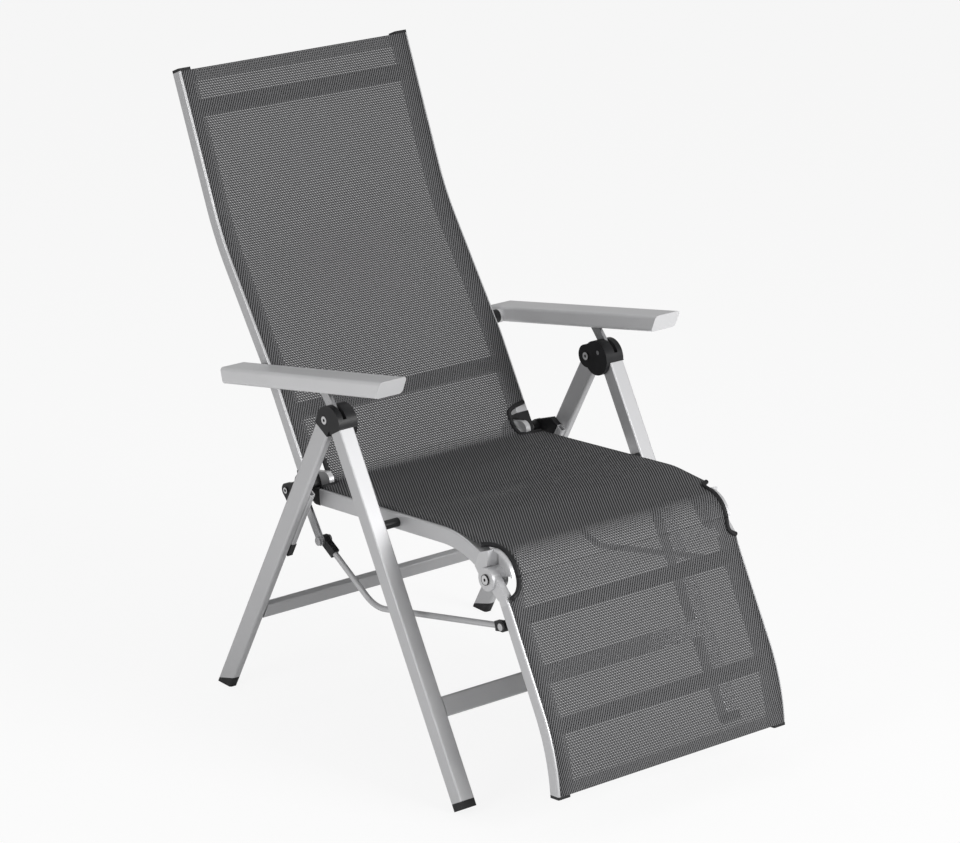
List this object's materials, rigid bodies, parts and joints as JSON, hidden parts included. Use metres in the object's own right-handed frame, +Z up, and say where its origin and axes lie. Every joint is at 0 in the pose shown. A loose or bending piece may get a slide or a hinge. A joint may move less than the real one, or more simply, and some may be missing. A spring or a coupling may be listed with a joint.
{
  "type": "reclining garden armchair",
  "caption": "Folding garden armchair with a mesh sling on a tubular frame: the back reclines, the leg rest rises with it by link rods, and the armrests sit on notched racks.",
  "frame": {"origin": "middle of the footprint, on the floor", "axes": "-Y the way the sitter faces, +Y behind the back, +X the sitter's left, +Z up"},
  "size_m": [0.624, 1.0378, 1.0509],
  "materials": {
    "aluminium_tube": "brushed, clear anodised",
    "cast_aluminium": "satin casting",
    "steel_fittings": "zinc plated",
    "black_plastic": "moulded, fine grain",
    "black_steel": "black powder coat",
    "mesh_sling": "open woven polyester mesh, vinyl coated"
  },
  "bodies": {
    "front_frame": {"front_leg_left": "aluminium_tube", "front_leg_right": "aluminium_tube", "front_stretcher": "aluminium_tube", "front_feet": "black_plastic", "front_hinge_head_left": "black_plastic", "front_hinge_head_right": "black_plastic", "arm_struts": "steel_fittings", "leg_hinge_rivets": "steel_fittings", "seat_pivot_bushes": "black_plastic", "seat_pivot_bolts": "steel_fittings"},
    "rear_frame": {"rear_leg_left": "aluminium_tube", "rear_leg_right": "aluminium_tube", "rear_stretcher": "aluminium_tube", "rear_feet": "black_plastic", "rear_hinge_head_left": "black_plastic", "rear_hinge_head_right": "black_plastic"},
    "carriages": {"slide_carriage_left": "black_plastic", "slide_carriage_right": "black_plastic", "carriage_rivets": "steel_fittings", "slide_strips": "aluminium_tube", "slide_tips": "black_plastic"},
    "seat": {"seat_rail_left": "aluminium_tube", "seat_rail_right": "aluminium_tube", "seat_front_bar": "aluminium_tube", "seat_rear_bar": "aluminium_tube", "seat_end_caps": "black_plastic", "seat_hinge_plates": "cast_aluminium", "seat_knee_brackets": "cast_aluminium", "seat_sling": "mesh_sling"},
    "back_pins": {"back_hinge_pins": "steel_fittings"},
    "back": {"back_rail_left": "aluminium_tube", "back_rail_right": "aluminium_tube", "back_top_bar": "aluminium_tube", "back_lower_bar": "aluminium_tube", "back_top_caps": "black_plastic", "back_hinge_brackets": "black_plastic", "recline_levers": "steel_fittings", "back_sling": "mesh_sling"},
    "knee_pins_body": {"knee_pins": "steel_fittings"},
    "leg_rest": {"leg_rest_rail_left": "aluminium_tube", "leg_rest_rail_right": "aluminium_tube", "leg_rest_upper_bar": "aluminium_tube", "leg_rest_lower_bar": "aluminium_tube", "leg_rest_caps": "black_plastic", "leg_rest_knee_brackets": "cast_aluminium", "leg_rod_lugs": "cast_aluminium", "leg_sling": "mesh_sling"},
    "rod_pins": {"lever_bolts": "steel_fittings"},
    "rods": {"link_rods": "aluminium_tube", "rod_sleeves": "black_plastic", "rod_end_fittings": "black_plastic", "rod_end_bolts": "steel_fittings"},
    "arm_pin_left": {"arm_pivot_pin_left": "steel_fittings"},
    "arm_pin_right": {"arm_pivot_pin_right": "steel_fittings"},
    "arm_collar_left": {"arm_pivot_bracket_left": "black_steel"},
    "arm_collar_right": {"arm_pivot_bracket_right": "black_steel"},
    "arm_left": {"armrest_left": "aluminium_tube", "arm_rack_left": "black_plastic"},
    "arm_right": {"armrest_right": "aluminium_tube", "arm_rack_right": "black_plastic"}
  },
  "joints": [
    {"name": "fold", "type": "hinge", "parent": "front_frame", "child": "rear_frame", "pos_m": [0, 0.02581, 0.564], "axis": [-1, 0, 0], "range_deg": [0, 22]},
    {"name": "carriage_slide", "type": "slide", "parent": "rear_frame", "child": "carriages", "axis": [0, 0.4818, -0.8763], "range_m": [0, 0.1135]},
    {"name": "seat_pivot", "type": "hinge", "parent": "front_frame", "child": "seat", "pos_m": [0, -0.10519, 0.416], "axis": [-1, 0, 0], "range_deg": [0, 35]},
    {"name": "back_pin_turn", "type": "hinge", "parent": "seat", "child": "back_pins", "pos_m": [0, 0.15981, 0.402], "axis": [-1, 0, 0], "range_deg": [-35, 0]},
    {"name": "recline", "type": "hinge", "parent": "back_pins", "child": "back", "pos_m": [0, 0.15981, 0.402], "axis": [-1, 0, 0], "range_deg": [-11, 28]},
    {"name": "knee_pin_turn", "type": "hinge", "parent": "seat", "child": "knee_pins_body", "pos_m": [0, -0.34019, 0.389], "axis": [-1, 0, 0], "range_deg": [-42, 0]},
    {"name": "leg_rest_swing", "type": "hinge", "parent": "knee_pins_body", "child": "leg_rest", "pos_m": [0, -0.34019, 0.389], "axis": [-1, 0, 0], "range_deg": [-12.7, 32.1]},
    {"name": "rod_pin_turn", "type": "hinge", "parent": "back", "child": "rod_pins", "pos_m": [0, 0.10481, 0.322], "axis": [-1, 0, 0], "range_deg": [-29, 11.5]},
    {"name": "rod_swing", "type": "hinge", "parent": "rod_pins", "child": "rods", "pos_m": [0, 0.10481, 0.322], "axis": [-1, 0, 0], "range_deg": [0, 36.5]},
    {"name": "arm_pin_turn_left", "type": "hinge", "parent": "back", "child": "arm_pin_left", "pos_m": [0, 0.25981, 0.58], "axis": [-1, 0, 0], "range_deg": [-19.2, 7.6]},
    {"name": "arm_collar_turn_left", "type": "hinge", "parent": "arm_pin_left", "child": "arm_collar_left", "pos_m": [0, 0.25981, 0.58], "axis": [-1, 0, 0], "range_deg": [0, 48.5]},
    {"name": "arm_lift_left", "type": "hinge", "parent": "arm_collar_left", "child": "arm_left", "pos_m": [0, 0.25981, 0.58], "axis": [-1, 0, 0], "range_deg": [0, 60]},
    {"name": "arm_pin_turn_right", "type": "hinge", "parent": "back", "child": "arm_pin_right", "pos_m": [0, 0.25981, 0.58], "axis": [-1, 0, 0], "range_deg": [-19.2, 7.6]},
    {"name": "arm_collar_turn_right", "type": "hinge", "parent": "arm_pin_right", "child": "arm_collar_right", "pos_m": [0, 0.25981, 0.58], "axis": [-1, 0, 0], "range_deg": [0, 48.5]},
    {"name": "arm_lift_right", "type": "hinge", "parent": "arm_collar_right", "child": "arm_right", "pos_m": [0, 0.25981, 0.58], "axis": [-1, 0, 0], "range_deg": [0, 60]}
  ],
  "couplings": [
    {"joint": "carriage_slide", "follows": "fold", "m_per_rad": 0.2947},
    {"joint": "seat_pivot", "follows": "fold", "ratio": 1.58},
    {"joint": "back_pin_turn", "follows": "fold", "ratio": -1.58},
    {"joint": "knee_pin_turn", "follows": "fold", "ratio": -1.9},
    {"joint": "rod_swing", "follows": "fold", "ratio": 1.64},
    {"joint": "leg_rest_swing", "follows": "recline", "ratio": 1.14},
    {"joint": "rod_pin_turn", "follows": "recline", "ratio": -1.03},
    {"joint": "arm_pin_turn_left", "follows": "recline", "ratio": -0.68},
    {"joint": "arm_collar_turn_left", "follows": "fold", "ratio": 2.2},
    {"joint": "arm_pin_turn_right", "follows": "recline", "ratio": -0.68},
    {"joint": "arm_collar_turn_right", "follows": "fold", "ratio": 2.2}
  ]
}
